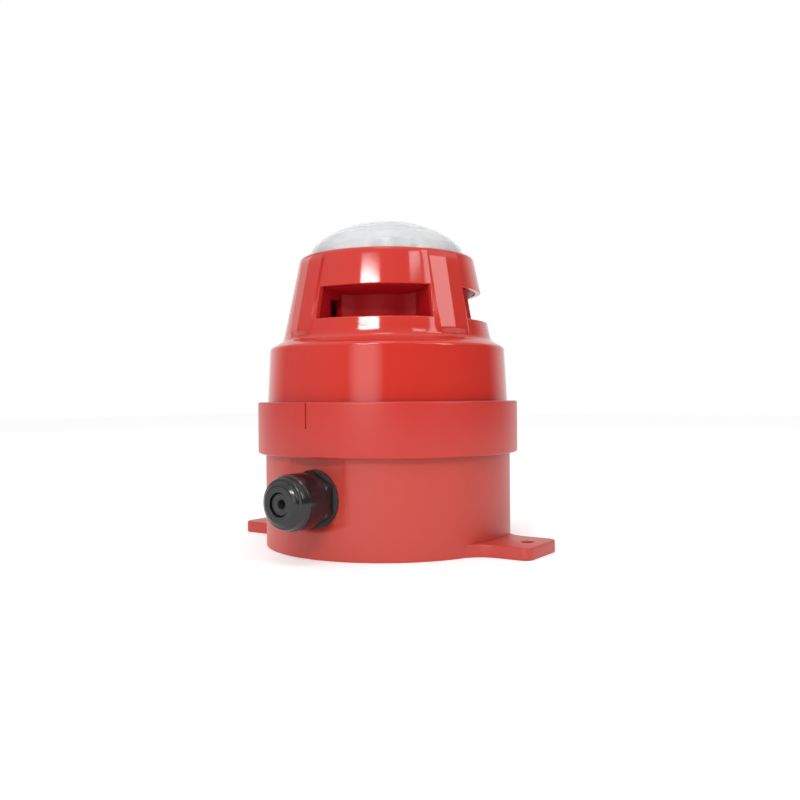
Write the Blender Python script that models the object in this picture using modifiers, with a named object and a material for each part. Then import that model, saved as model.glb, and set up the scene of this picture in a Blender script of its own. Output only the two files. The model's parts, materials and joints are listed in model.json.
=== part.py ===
"""Horn strobe: a surface-mounted alarm with a three-mouth horn and a clear beacon on top.

All sizes below are millimetres, and MM turns them into Blender's metres. +Z is up. The origin is the
centre of the base's underside. The fixing lugs lie along X and the cable gland faces -Y. An azimuth is
an angle in degrees about Z, with 0 at -Y and 90 at +X.
"""

import math

import bmesh
import bpy
from mathutils import Vector

MM = 0.001
GAP = 0.3
MERGE = 0.00001

# Facets round a full turn
LARGE_ROUND = 48
SEAL_ROUND = 36
MEDIUM_ROUND = 24
SMALL_ROUND = 12

# Base housing
BASE_RADIUS = 57.5
BASE_WALL = 3.0
BASE_FLOOR = 4.0
BASE_RIM_Z = 58.0
THREAD_RADIUS = 58.6
THREAD_FOOT_Z = 44.8
REBATE_RADIUS = 56.5
REBATE_Z = 56.0

# Fixing lugs
LUG_REACH = 80.0
LUG_HALF_WIDTH = 14.5
LUG_THICKNESS = 5.5
LUG_CORNER = 4.0
LUG_FILLET = 13.0
LUG_HOLE_X = 72.0
LUG_HOLE_RADIUS = 2.75

# Cable entry: a thickened, flattened stretch of wall with the gland through it
GLAND_Z = 25.3
GLAND_FACE_Y = -55.0
GLAND_HOLE_RADIUS = 10.2
GLAND_PAD_Y = -51.0
GLAND_PAD_WIDTH = 29.6
GLAND_PAD_HEIGHT = 34.0
GLAND_FLAT_LOW_Z = 11.0
GLAND_FLAT_HIGH_Z = 43.6
GLAND_NOSE = 23.2
GLAND_BORE = 6.1
DOME_RADIUS = 11.8
CABLE_RADIUS = 2.0

# Locking ring
RING_RADIUS = 61.0
RING_BORE = 59.0
RING_LIP_BORE = 57.0
RING_LOW_Z = 42.9
RING_LIP_Z = 62.0
RING_TOP_Z = 66.4

# Head housing
HEAD_FOOT_Z = 58.6
HEAD_FLANGE_Z = 61.6
HEAD_SHOULDER_Z = 90.6
TOWER_FOOT = (49.2, 97.5)
TOWER_RIM = (42.4, 130.3)
TOWER_WALL = 3.4
TOWER_TOP_Z = 133.3
LENS_OPENING = 37.4

# Horn: three mouths a quarter turn apart, and a closed quarter for the wiring
MOUTH_AZIMUTHS = (26.0, 116.0, 206.0)
CLOSED_AZIMUTH = 296.0
MOUTH_HALF_ANGLE = 33.0
PANEL_HALF_ANGLE = 34.5
PANEL_RECESS = 0.7
PANEL_LOW_Z = 98.4
PANEL_HIGH_Z = 129.6
MOUTH_FLOOR_SLOPE = 0.08
MOUTH_CEILING_SLOPE = 0.16
MOUTH_LOW_Z = 102.7
MOUTH_HIGH_Z = 116.8
HORN_BACK_RADIUS = 28.0
THROAT_RADIUS = 9.0
HORN_TOP_Z = 119.0
DUCT_WIDTH = 5.0
DUCT_LOW_Z = 104.0
DUCT_HIGH_Z = 110.5
PORT_SIZE = (10.0, 6.8, 7.6)
PORT_RADIUS = 34.4
PORT_Z = 108.1
PORT_OFFSET = 8.0

# Boards
TERMINAL_BOARD_Z = 12.3
HEAD_BOARD_Z = 34.0
BOARD_THICKNESS = 1.6
TERMINAL_BOARD_HALF = (36.0, 28.0)
HEAD_BOARD_RADIUS = 50.0
HEAD_BOARD_FLAT_Y = -42.0
SPACER_AZIMUTHS = (90.0, 210.0, 330.0)
SPACER_RADIUS = 46.0
SPACER_TOP_Z = 62.1

# Fixings
PILOT_RADIUS = 1.5
PILOT_ROUND = 10

# Terminal board parts
POST_RADIUS = 4.0
POST_PLACES = ((-30.0, 26.0), (30.0, 26.0), (0.0, -18.0))
BLOCK_SIZE = (10.2, 8.0, 10.0)
BLOCK_WAYS = 2
BLOCK_PLACES = {"terminal_block_supply": (-20.0, -17.0), "terminal_block_control": (20.0, -17.0)}
TERMINAL_PITCH = 5.0
DIP_PLACE = (-16.0, 8.0)
DIP_COUNT = 5
DIP_PITCH = 2.54
TRIMMER_PLACE = (16.0, 8.0)
ROTOR_RADIUS = 3.0
SOCKET_PLACE = (0.0, 22.0)

# Horn driver
HORN_SCREW_AZIMUTHS = (30.0, 150.0, 270.0)
HORN_SCREW_RADIUS = 48.2
DRIVER_SCREW_RADIUS = 29.4
HORN_FOOT_Z = 87.3

# Beacon
TRAY_RADIUS = 39.2
TRAY_LOW_Z = 119.4
TRAY_TOP_Z = 126.9
STROBE_BOARD_Z = 121.3
TUBE_RADIUS = 2.2
TUBE_BEND = 8.0
TUBE_BEND_Z = 131.0
LENS_TOP_Z = 150.9
LENS_SKIRT = 37.0
LENS_FLANGE = 38.5
LEAD_RADIUS = 34.8


def clear_scene():
    for old in list(bpy.data.objects):
        bpy.data.objects.remove(old, do_unlink=True)


def new_collection(name):
    made = bpy.data.collections.new(name)
    bpy.context.scene.collection.children.link(made)
    return made


def new_finish(name, colour, roughness, metallic=0.0, transmission=0.0):
    finish = bpy.data.materials.new(name)
    finish.use_nodes = True
    sockets = finish.node_tree.nodes["Principled BSDF"].inputs
    sockets["Base Color"].default_value = (*colour, 1.0)
    sockets["Roughness"].default_value = roughness
    sockets["Metallic"].default_value = metallic
    sockets["Transmission Weight"].default_value = transmission
    return finish


clear_scene()
PARTS = new_collection("horn_strobe")
CUTTERS = new_collection("horn_strobe_cutters")

MATT_RED = new_finish("matt_red_plastic", (0.55, 0.07, 0.05), 0.5)
GLOSS_RED = new_finish("gloss_red_plastic", (0.60, 0.05, 0.035), 0.25)
BLACK = new_finish("black_nylon", (0.02, 0.02, 0.022), 0.35)
RUBBER = new_finish("black_rubber", (0.025, 0.025, 0.025), 0.7)
CLEAR = new_finish("clear_polycarbonate", (0.93, 0.95, 0.97), 0.05, transmission=0.95)
BOARD = new_finish("green_circuit_board", (0.02, 0.16, 0.06), 0.45)
GREEN = new_finish("green_terminal_plastic", (0.05, 0.30, 0.10), 0.45)
BLUE = new_finish("blue_component_plastic", (0.03, 0.10, 0.35), 0.4)
WHITE = new_finish("white_plastic", (0.80, 0.80, 0.78), 0.4)
STEEL = new_finish("zinc_plated_steel", (0.62, 0.62, 0.60), 0.3, metallic=1.0)
FERRITE = new_finish("ferrite", (0.06, 0.06, 0.065), 0.6)
COPPER = new_finish("copper_winding", (0.60, 0.26, 0.12), 0.35, metallic=1.0)
FILM = new_finish("phenolic_film", (0.45, 0.26, 0.10), 0.5)
MIRROR = new_finish("metallised_reflector", (0.85, 0.86, 0.88), 0.12, metallic=1.0)
GLASS = new_finish("flash_tube_glass", (0.90, 0.92, 0.95), 0.05, transmission=0.9)


def at(radius, azimuth, z=0.0):
    """The point at this radius and azimuth, in millimetres."""
    turn = math.radians(azimuth)
    return Vector((radius * math.sin(turn), -radius * math.cos(turn), z))


def turned_to(azimuth):
    """The rotation about Z that carries local -Y to this azimuth."""
    return (0.0, 0.0, math.radians(azimuth))


def placed(mesh, name, finish, location, rotation):
    """A new object from this mesh: a part where a finish is given, and a hidden cutter where it is None."""
    made = bpy.data.objects.new(name, mesh)
    made.location = Vector(location) * MM
    made.rotation_euler = rotation
    if finish is None:
        CUTTERS.objects.link(made)
        made.hide_render = True
        made.display_type = "WIRE"
    else:
        PARTS.objects.link(made)
        mesh.materials.append(finish)
    return made


def evaluated_mesh(source, name):
    bpy.context.view_layer.update()
    graph = bpy.context.evaluated_depsgraph_get()
    mesh = bpy.data.meshes.new_from_object(source.evaluated_get(graph))
    mesh.name = name
    bpy.data.objects.remove(source, do_unlink=True)
    return mesh


def box(name, size, centre, finish=None, rotation=(0.0, 0.0, 0.0)):
    bm = bmesh.new()
    bmesh.ops.create_cube(bm, size=1.0)
    bmesh.ops.scale(bm, vec=Vector(size) * MM, verts=bm.verts)
    mesh = bpy.data.meshes.new(name)
    bm.to_mesh(mesh)
    bm.free()
    return placed(mesh, name, finish, centre, rotation)


def radial_box(name, inner, outer, width, low, high, azimuth, finish=None):
    """A box that runs outward from the axis, between two radii and two heights."""
    centre = at((inner + outer) / 2, azimuth, (low + high) / 2)
    size = (width, outer - inner, high - low)
    return box(name, size, centre, finish, turned_to(azimuth))


def prism(name, radius, low, high, sides, finish=None, place=(0.0, 0.0), rotation=(0.0, 0.0, 0.0)):
    """An upright cylinder or many-sided prism between two heights."""
    bm = bmesh.new()
    bmesh.ops.create_cone(
        bm,
        cap_ends=True,
        segments=sides,
        radius1=radius * MM,
        radius2=radius * MM,
        depth=(high - low) * MM,
    )
    mesh = bpy.data.meshes.new(name)
    bm.to_mesh(mesh)
    bm.free()
    return placed(mesh, name, finish, (place[0], place[1], (low + high) / 2), rotation)


def turned(name, profile, sides, finish=None, location=(0.0, 0.0, 0.0), rotation=(0.0, 0.0, 0.0)):
    """A profile of (radius, height) points turned about local Z. It is closed unless it ends on the axis."""
    mesh = bpy.data.meshes.new(name)
    points = [(radius * MM, 0.0, height * MM) for radius, height in profile]
    edges = [(i, i + 1) for i in range(len(points) - 1)]
    if profile[0][0] > 0:
        edges.append((len(points) - 1, 0))
    mesh.from_pydata(points, edges, [])
    source = bpy.data.objects.new(name, mesh)
    CUTTERS.objects.link(source)
    screw = source.modifiers.new("Turn", "SCREW")
    screw.steps = sides
    screw.render_steps = sides
    screw.use_merge_vertices = True
    screw.merge_threshold = MERGE
    solid = evaluated_mesh(source, name)
    solid.shade_smooth()
    solid.set_sharp_from_angle(angle=math.radians(30))
    return placed(solid, name, finish, location, rotation)


def plate(name, outline, low, high, finish=None):
    """A flat outline given as (x, y) points, with its faces at two heights."""
    curve = bpy.data.curves.new(name, "CURVE")
    curve.dimensions = "2D"
    curve.fill_mode = "BOTH"
    curve.extrude = (high - low) / 2 * MM
    spline = curve.splines.new("POLY")
    spline.points.add(len(outline) - 1)
    for point, (x, y) in zip(spline.points, outline):
        point.co = (x * MM, y * MM, 0.0, 1.0)
    spline.use_cyclic_u = True
    source = bpy.data.objects.new(name, curve)
    CUTTERS.objects.link(source)
    mesh = evaluated_mesh(source, name)
    bm = bmesh.new()
    bm.from_mesh(mesh)
    bmesh.ops.remove_doubles(bm, verts=bm.verts, dist=MERGE)
    bmesh.ops.recalc_face_normals(bm, faces=bm.faces)
    bmesh.ops.translate(bm, verts=bm.verts, vec=(0.0, 0.0, (low + high) / 2 * MM))
    bm.to_mesh(mesh)
    bm.free()
    return placed(mesh, name, finish, (0.0, 0.0, 0.0), (0.0, 0.0, 0.0))


def wire(name, radius, route, finish):
    """A round wire through a list of points."""
    curve = bpy.data.curves.new(name, "CURVE")
    curve.dimensions = "3D"
    curve.bevel_depth = radius * MM
    curve.bevel_resolution = 2
    curve.use_fill_caps = True
    spline = curve.splines.new("POLY")
    spline.points.add(len(route) - 1)
    for point, place in zip(spline.points, route):
        point.co = (*(Vector(place) * MM), 1.0)
    made = bpy.data.objects.new(name, curve)
    PARTS.objects.link(made)
    curve.materials.append(finish)
    return made


def combine(target, operation, *others):
    for other in others:
        step = target.modifiers.new(other.name, "BOOLEAN")
        step.operation = operation
        step.solver = "EXACT"
        step.object = other
    return target


def cut(target, *cutters):
    return combine(target, "DIFFERENCE", *cutters)


def join(target, *others):
    return combine(target, "UNION", *others)


def arc(centre, radius, start, end, steps):
    """Points along a circle's arc in the XY plane, from one angle to another, both in degrees from +X."""
    angles = [math.radians(start + (end - start) * i / steps) for i in range(steps + 1)]
    return [(centre[0] + radius * math.cos(a), centre[1] + radius * math.sin(a)) for a in angles]


def rounded_rectangle(half_x, half_y, corner, centre=(0.0, 0.0)):
    points = []
    for quarter, (sign_x, sign_y) in enumerate(((1, 1), (-1, 1), (-1, -1), (1, -1))):
        middle = (centre[0] + sign_x * (half_x - corner), centre[1] + sign_y * (half_y - corner))
        points += arc(middle, corner, quarter * 90.0, quarter * 90.0 + 90.0, 3)
    return points


def tower_radius(z):
    """The tower's outer radius at this height: a straight cone."""
    share = (z - TOWER_FOOT[1]) / (TOWER_RIM[1] - TOWER_FOOT[1])
    return TOWER_FOOT[0] + share * (TOWER_RIM[0] - TOWER_FOOT[0])


def sector(name, azimuth, half_angle, inner_radius, outer_radius, low_z, high_z):
    """A cutter that fills a sector. Its inner radius is a function of height, and its ends of radius."""
    steps = 5
    lowest = low_z(outer_radius)
    highest = high_z(outer_radius)
    inner = inner_radius(lowest)
    middle = azimuth - 90.0
    outline = arc((0.0, 0.0), outer_radius, middle - half_angle, middle + half_angle, steps)
    outline += arc((0.0, 0.0), inner, middle + half_angle, middle - half_angle, steps)
    made = plate(name, outline, lowest, highest)
    split = (lowest + highest) / 2 * MM
    for vertex in made.data.vertices:
        radius = math.hypot(vertex.co.x, vertex.co.y) / MM
        height = high_z(radius) if vertex.co.z > split else low_z(radius)
        if radius < (inner + outer_radius) / 2:
            shrink = inner_radius(height) / radius
            vertex.co.x *= shrink
            vertex.co.y *= shrink
        vertex.co.z = height * MM
    return made


def lug_outline():
    """The lug on +X, from inside the wall out to its end, with hollow fillets where it leaves the wall."""
    inside = BASE_RADIUS - 1.5
    reach = BASE_RADIUS + LUG_FILLET
    fillet_y = LUG_HALF_WIDTH + LUG_FILLET
    fillet_x = math.sqrt(reach**2 - fillet_y**2)
    leave = math.degrees(math.atan2(fillet_y, fillet_x))
    corner_x = LUG_REACH - LUG_CORNER
    corner_y = LUG_HALF_WIDTH - LUG_CORNER
    upper = arc((fillet_x, fillet_y), LUG_FILLET, 180.0 + leave, 270.0, 5)[::-1]
    right = arc((corner_x, -corner_y), LUG_CORNER, -90.0, 0.0, 3)
    right += arc((corner_x, corner_y), LUG_CORNER, 0.0, 90.0, 3)
    lower = [(x, -y) for x, y in upper[::-1]]
    return lower + right + upper + arc((0.0, 0.0), inside, leave, -leave, 4)


def fixing_screw(name, place, seat_z, head_radius, head_height, shank_radius, length, sides=SMALL_ROUND):
    """A slotted pan-head screw driven upward or downward: a negative head height hangs the head below."""
    way = 1.0 if head_height > 0 else -1.0
    profile = [
        (0.0, seat_z + head_height),
        (head_radius, seat_z + head_height),
        (head_radius, seat_z),
        (shank_radius, seat_z),
        (shank_radius, seat_z - way * length),
        (0.0, seat_z - way * length),
    ]
    if way < 0:
        profile.reverse()
    screw = turned(name, profile, sides, STEEL, (place[0], place[1], 0.0))
    slot_depth = 0.8
    slot_centre = seat_z + head_height - way * slot_depth / 2 + way
    slot = box(name + "_slot", (0.8, 4 * head_radius, slot_depth + 2.0), (place[0], place[1], slot_centre))
    return cut(screw, slot)


def base_housing():
    inner = BASE_RADIUS - BASE_WALL
    profile = [
        (0.0, BASE_FLOOR),
        (inner, BASE_FLOOR),
        (inner, REBATE_Z),
        (REBATE_RADIUS, REBATE_Z),
        (REBATE_RADIUS, BASE_RIM_Z),
        (THREAD_RADIUS, BASE_RIM_Z),
        (THREAD_RADIUS, THREAD_FOOT_Z),
        (BASE_RADIUS, THREAD_FOOT_Z - 1.0),
        (BASE_RADIUS, 0.0),
        (0.0, 0.0),
    ]
    housing = turned("base_housing", profile, LARGE_ROUND, MATT_RED)
    right_lug = plate("lug_right", lug_outline(), 0.0, LUG_THICKNESS)
    left_lug = plate("lug_left", [(-x, -y) for x, y in lug_outline()], 0.0, LUG_THICKNESS)
    pad_outer_y = GLAND_FACE_Y - 0.5
    pad = box(
        "gland_pad",
        (GLAND_PAD_WIDTH, GLAND_PAD_Y - pad_outer_y, GLAND_PAD_HEIGHT),
        (0.0, (GLAND_PAD_Y + pad_outer_y) / 2, GLAND_Z),
    )
    join(housing, right_lug, left_lug, pad)
    for i, (x, y) in enumerate(POST_PLACES):
        top = TERMINAL_BOARD_Z - GAP
        post = prism(f"board_post_{i + 1}", POST_RADIUS, BASE_FLOOR - 1.0, top, SMALL_ROUND, place=(x, y))
        join(housing, post)
    for i, (x, y) in enumerate(POST_PLACES):
        low = BASE_FLOOR + 0.6
        high = TERMINAL_BOARD_Z + 1.0
        cut(housing, prism(f"board_pilot_{i + 1}", PILOT_RADIUS, low, high, PILOT_ROUND, place=(x, y)))
    flat = box(
        "gland_flat",
        (60.0, 20.0, GLAND_FLAT_HIGH_Z - GLAND_FLAT_LOW_Z),
        (0.0, GLAND_FACE_Y - 10.0, (GLAND_FLAT_HIGH_Z + GLAND_FLAT_LOW_Z) / 2),
    )
    hole = turned(
        "gland_hole",
        [(0.0, 8.0), (GLAND_HOLE_RADIUS, 8.0), (GLAND_HOLE_RADIUS, -8.0), (0.0, -8.0)],
        MEDIUM_ROUND,
        location=(0.0, GLAND_FACE_Y, GLAND_Z),
        rotation=(math.radians(90), 0.0, 0.0),
    )
    cut(housing, flat, hole)
    for side in (-1, 1):
        place = (side * LUG_HOLE_X, 0.0)
        cut(housing, prism(f"lug_hole_{side}", LUG_HOLE_RADIUS, -2.0, LUG_THICKNESS + 2.0, 20, place=place))
    return housing


def base_gasket():
    low = REBATE_Z + GAP
    high = HEAD_FOOT_Z - GAP
    profile = [(54.9, high), (56.1, high), (56.1, low), (54.9, low)]
    return turned("base_gasket", profile, SEAL_ROUND, RUBBER)


def terminal_board():
    top = TERMINAL_BOARD_Z + BOARD_THICKNESS
    outline = rounded_rectangle(*TERMINAL_BOARD_HALF, 3.0, centre=(0.0, 4.0))
    board = plate("terminal_board", outline, TERMINAL_BOARD_Z, top, BOARD)
    for i, place in enumerate(POST_PLACES):
        hole = prism(f"terminal_board_hole_{i + 1}", 1.8, TERMINAL_BOARD_Z - 1.0, top + 1.0, 12, place=place)
        cut(board, hole)
        fixing_screw(f"terminal_board_screw_{i + 1}", place, top + GAP, 3.0, 2.2, 1.2, 8.5)
    return board


def terminal_block(name, place, first_screw):
    """A two-way block with a wire mouth under each clamping screw."""
    low = TERMINAL_BOARD_Z + BOARD_THICKNESS + GAP
    width, depth, height = BLOCK_SIZE
    block = box(name, BLOCK_SIZE, (*place, low + height / 2), GREEN)
    for i in range(BLOCK_WAYS):
        x = place[0] + (i - (BLOCK_WAYS - 1) / 2) * TERMINAL_PITCH
        well_top = low + height + 1.0
        well = prism(f"{name}_well_{i + 1}", 1.9, low + 4.0, well_top, SMALL_ROUND, place=(x, place[1]))
        mouth_centre = (x, place[1] - depth / 2, low + 2.9)
        mouth = box(f"{name}_mouth_{i + 1}", (3.4, 10.0, 3.4), mouth_centre)
        cut(block, well, mouth)
        screw_name = f"terminal_screw_{first_screw + i}"
        fixing_screw(screw_name, (x, place[1]), low + 6.5, 1.6, 1.6, 1.1, 1.6, 12)
    return block


def dip_switch():
    """The selector switch: a body with a slot for each slider, and sliders that travel along Y."""
    low = TERMINAL_BOARD_Z + BOARD_THICKNESS + GAP
    high = low + 4.0
    length = DIP_COUNT * DIP_PITCH + 1.6
    body = box("dip_switch_body", (length, 9.8, high - low), (*DIP_PLACE, (low + high) / 2), BLUE)
    for i in range(DIP_COUNT):
        x = DIP_PLACE[0] + (i - (DIP_COUNT - 1) / 2) * DIP_PITCH
        slot = box(f"dip_slot_{i + 1}", (1.8, 4.2, 3.4), (x, DIP_PLACE[1], high + 0.4))
        cut(body, slot)
        box(f"dip_slider_{i + 1}", (1.2, 1.5, 1.8), (x, DIP_PLACE[1] - 1.0, high), WHITE)
    return body


def volume_trimmer():
    """The volume control: a square body with a screwdriver-slotted rotor in a round well."""
    low = TERMINAL_BOARD_Z + BOARD_THICKNESS + GAP
    high = low + 5.0
    body = box("volume_trimmer_body", (10.0, 10.0, high - low), (*TRIMMER_PLACE, (low + high) / 2), BLUE)
    well = ROTOR_RADIUS + 0.4
    cut(body, prism("trimmer_well", well, high - 2.4, high + 1.0, 20, place=TRIMMER_PLACE))
    rotor = turned(
        "volume_trimmer_rotor",
        [(0.0, 0.9), (ROTOR_RADIUS, 0.9), (ROTOR_RADIUS, -0.9), (0.0, -0.9)],
        18,
        WHITE,
        location=(*TRIMMER_PLACE, high - 1.1),
    )
    cut(rotor, box("rotor_slot", (0.9, 4.4, 2.0), (*TRIMMER_PLACE, high + 0.2)))
    return body


def interconnect():
    """The connector that joins head to base: a socket below and a tongue-and-block plug above."""
    low = TERMINAL_BOARD_Z + BOARD_THICKNESS + GAP
    socket_top = low + 9.0
    x, y = SOCKET_PLACE
    socket = box("interconnect_socket", (22.0, 6.0, 9.0), (x, y, (low + socket_top) / 2), BLACK)
    cut(socket, box("socket_slot", (18.0, 2.4, 9.0), (x, y, low + 6.8)))
    plug_low = socket_top + GAP + 0.7
    plug_high = HEAD_BOARD_Z - GAP
    plug_size = (20.0, 5.0, plug_high - plug_low)
    plug = box("interconnect_plug", plug_size, (x, y, (plug_low + plug_high) / 2), WHITE)
    tongue = box("plug_tongue", (17.0, 1.5, 7.0), (x, y, plug_low - 2.5))
    join(plug, tongue)


def gland():
    """The cable gland. Its local Z runs outward along -Y from the flat on the base."""
    seat = (0.0, GLAND_FACE_Y, GLAND_Z)
    outward = (math.radians(90), 0.0, 0.0)
    washer = [(10.5, 1.5), (12.6, 1.5), (12.6, GAP), (10.5, GAP)]
    turned("gland_washer", washer, MEDIUM_ROUND, RUBBER, seat, outward)
    body_profile = [
        (GLAND_BORE, 13.5),
        (9.4, 13.5),
        (9.4, 4.0),
        (9.9, 4.0),
        (9.9, -11.0),
        (GLAND_BORE, -11.0),
    ]
    body = turned("gland_body", body_profile, MEDIUM_ROUND, BLACK, seat, outward)
    collar_profile = [(8.0, 6.3), (12.4, 6.3), (12.4, 1.8), (8.0, 1.8)]
    join(body, turned("gland_collar", collar_profile, 6, None, seat, outward))
    nut_profile = [(10.2, -4.3), (14.6, -4.3), (14.6, -9.3), (10.2, -9.3)]
    turned("gland_locknut", nut_profile, 30, BLACK, seat, outward)
    seal_profile = [
        (CABLE_RADIUS, 22.2),
        (4.6, 22.2),
        (4.6, 21.0),
        (5.6, 19.6),
        (5.6, 8.0),
        (CABLE_RADIUS, 8.0),
    ]
    turned("gland_seal", seal_profile, MEDIUM_ROUND, RUBBER, seat, outward)
    dome_profile = [
        (4.95, GLAND_NOSE),
        (7.9, GLAND_NOSE),
        (9.3, 22.4),
        (10.5, 20.8),
        (11.4, 18.4),
        (DOME_RADIUS, 15.4),
        (DOME_RADIUS, 6.7),
        (9.75, 6.7),
        (9.75, 14.2),
        (6.2, 17.4),
        (6.2, 20.2),
        (4.95, 21.4),
    ]
    turned("gland_dome_nut", dome_profile, MEDIUM_ROUND, BLACK, seat, outward)


def locking_ring():
    profile = [
        (RING_LIP_BORE, RING_TOP_Z),
        (RING_RADIUS - 0.5, RING_TOP_Z),
        (RING_RADIUS, RING_TOP_Z - 0.5),
        (RING_RADIUS, RING_LOW_Z),
        (RING_BORE, RING_LOW_Z),
        (RING_BORE, RING_LIP_Z),
        (RING_LIP_BORE, RING_LIP_Z),
    ]
    ring = turned("locking_ring", profile, LARGE_ROUND, MATT_RED)
    mark = box("alignment_mark", (1.2, 2.4, 12.0), (0.0, -RING_RADIUS - 0.5, RING_TOP_Z - 5.0))
    return cut(ring, mark)


def head_housing():
    rim_inner = TOWER_RIM[0] - TOWER_WALL
    profile = [
        (LENS_OPENING, TOWER_TOP_Z),
        (38.6, TOWER_TOP_Z),
        (40.3, 132.4),
        (41.2, 131.4),
        TOWER_RIM,
        TOWER_FOOT,
        (49.3, 95.2),
        (50.6, 93.6),
        (52.6, 92.5),
        (53.9, 91.9),
        (54.6, HEAD_SHOULDER_Z),
        (56.5, RING_TOP_Z),
        (56.6, HEAD_FLANGE_Z),
        (THREAD_RADIUS, HEAD_FLANGE_Z),
        (THREAD_RADIUS, HEAD_FOOT_Z),
        (53.6, HEAD_FOOT_Z),
        (51.7, 89.8),
        (50.8, 90.6),
        (47.0, 94.2),
        (46.0, 97.6),
        (rim_inner, TOWER_RIM[1]),
        (LENS_OPENING, TOWER_RIM[1]),
    ]
    housing = turned("head_housing", profile, LARGE_ROUND, GLOSS_RED)
    for i, azimuth in enumerate(SPACER_AZIMUTHS):
        bracket = radial_box(f"spacer_bracket_{i + 1}", 41.5, 54.7, 9.0, SPACER_TOP_Z + GAP, 66.0, azimuth)
        join(housing, bracket)
    for i, azimuth in enumerate(HORN_SCREW_AZIMUTHS):
        boss = radial_box(f"horn_boss_{i + 1}", 46.7, 49.4, 8.0, 90.6, 94.0, azimuth)
        join(housing, boss)
        place = at(HORN_SCREW_RADIUS, azimuth)
        cut(housing, prism(f"horn_pilot_{i + 1}", 1.4, 89.0, 93.0, 10, place=place.xy))
    for i, azimuth in enumerate(SPACER_AZIMUTHS):
        place = at(SPACER_RADIUS, azimuth)
        cut(housing, prism(f"bracket_pilot_{i + 1}", 1.5, 60.0, 65.0, 10, place=place.xy))
    for i, azimuth in enumerate((*MOUTH_AZIMUTHS, CLOSED_AZIMUTH)):
        cut(housing, panel_recess(f"panel_recess_{i + 1}", azimuth))
    for i, azimuth in enumerate(MOUTH_AZIMUTHS):
        cut(housing, mouth_cutter(f"housing_mouth_{i + 1}", azimuth))
    return housing


def panel_recess(name, azimuth):
    return sector(
        name,
        azimuth,
        PANEL_HALF_ANGLE,
        inner_radius=lambda z: tower_radius(z) - PANEL_RECESS,
        outer_radius=60.0,
        low_z=lambda radius: PANEL_LOW_Z,
        high_z=lambda radius: PANEL_HIGH_Z,
    )


def mouth_cutter(name, azimuth):
    """One horn mouth: a sector whose floor falls outward and whose ceiling rises outward."""
    return sector(
        name,
        azimuth,
        MOUTH_HALF_ANGLE,
        inner_radius=lambda z: HORN_BACK_RADIUS,
        outer_radius=56.0,
        low_z=lambda radius: MOUTH_LOW_Z - (radius - 46.0) * MOUTH_FLOOR_SLOPE,
        high_z=lambda radius: MOUTH_HIGH_Z + (radius - 44.0) * MOUTH_CEILING_SLOPE,
    )


def horn_insert():
    """The block inside the tower: a throat, three mouths, and a duct from the throat to each mouth's side."""
    profile = [
        (0.0, HORN_TOP_Z),
        (tower_radius(HORN_TOP_Z) - TOWER_WALL - 0.5, HORN_TOP_Z),
        (45.5, 97.8),
        (46.3, 94.0),
        (46.3, 90.3),
        (50.4, 90.3),
        (50.4, HORN_FOOT_Z),
        (0.0, HORN_FOOT_Z),
    ]
    insert = turned("horn_insert", profile, LARGE_ROUND, GLOSS_RED)
    for i, azimuth in enumerate(MOUTH_AZIMUTHS):
        cut(insert, mouth_cutter(f"insert_mouth_{i + 1}", azimuth))
        rib = azimuth - 45.0
        duct = radial_box(f"throat_duct_{i + 1}", 5.0, 38.0, DUCT_WIDTH, DUCT_LOW_Z, DUCT_HIGH_Z, rib)
        port_azimuth = rib + PORT_OFFSET
        port_centre = at(PORT_RADIUS, port_azimuth, PORT_Z)
        port = box(f"mouth_port_{i + 1}", PORT_SIZE, port_centre, rotation=turned_to(port_azimuth))
        cut(insert, duct, port)
    throat_profile = [
        (0.0, 112.0),
        (6.0, 111.0),
        (THROAT_RADIUS, 107.0),
        (THROAT_RADIUS, 80.0),
        (0.0, 80.0),
    ]
    throat = turned("throat", throat_profile, 24)
    lead_hole = prism("lead_hole", 2.2, 80.0, 125.0, 12, place=at(LEAD_RADIUS, CLOSED_AZIMUTH).xy)
    cut(insert, throat, lead_hole)
    for i, azimuth in enumerate(HORN_SCREW_AZIMUTHS):
        place = at(HORN_SCREW_RADIUS, azimuth).xy
        cut(insert, prism(f"horn_screw_hole_{i + 1}", 1.6, 80.0, 92.5, 10, place=place))
        fixing_screw(f"horn_screw_{i + 1}", place, HORN_FOOT_Z - GAP, 2.5, -2.0, 1.1, 5.6, 12)
    for i, azimuth in enumerate(HORN_SCREW_AZIMUTHS):
        place = at(DRIVER_SCREW_RADIUS, azimuth).xy
        cut(insert, prism(f"driver_pilot_{i + 1}", 1.4, 80.0, 97.0, 10, place=place))
    return insert


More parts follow.
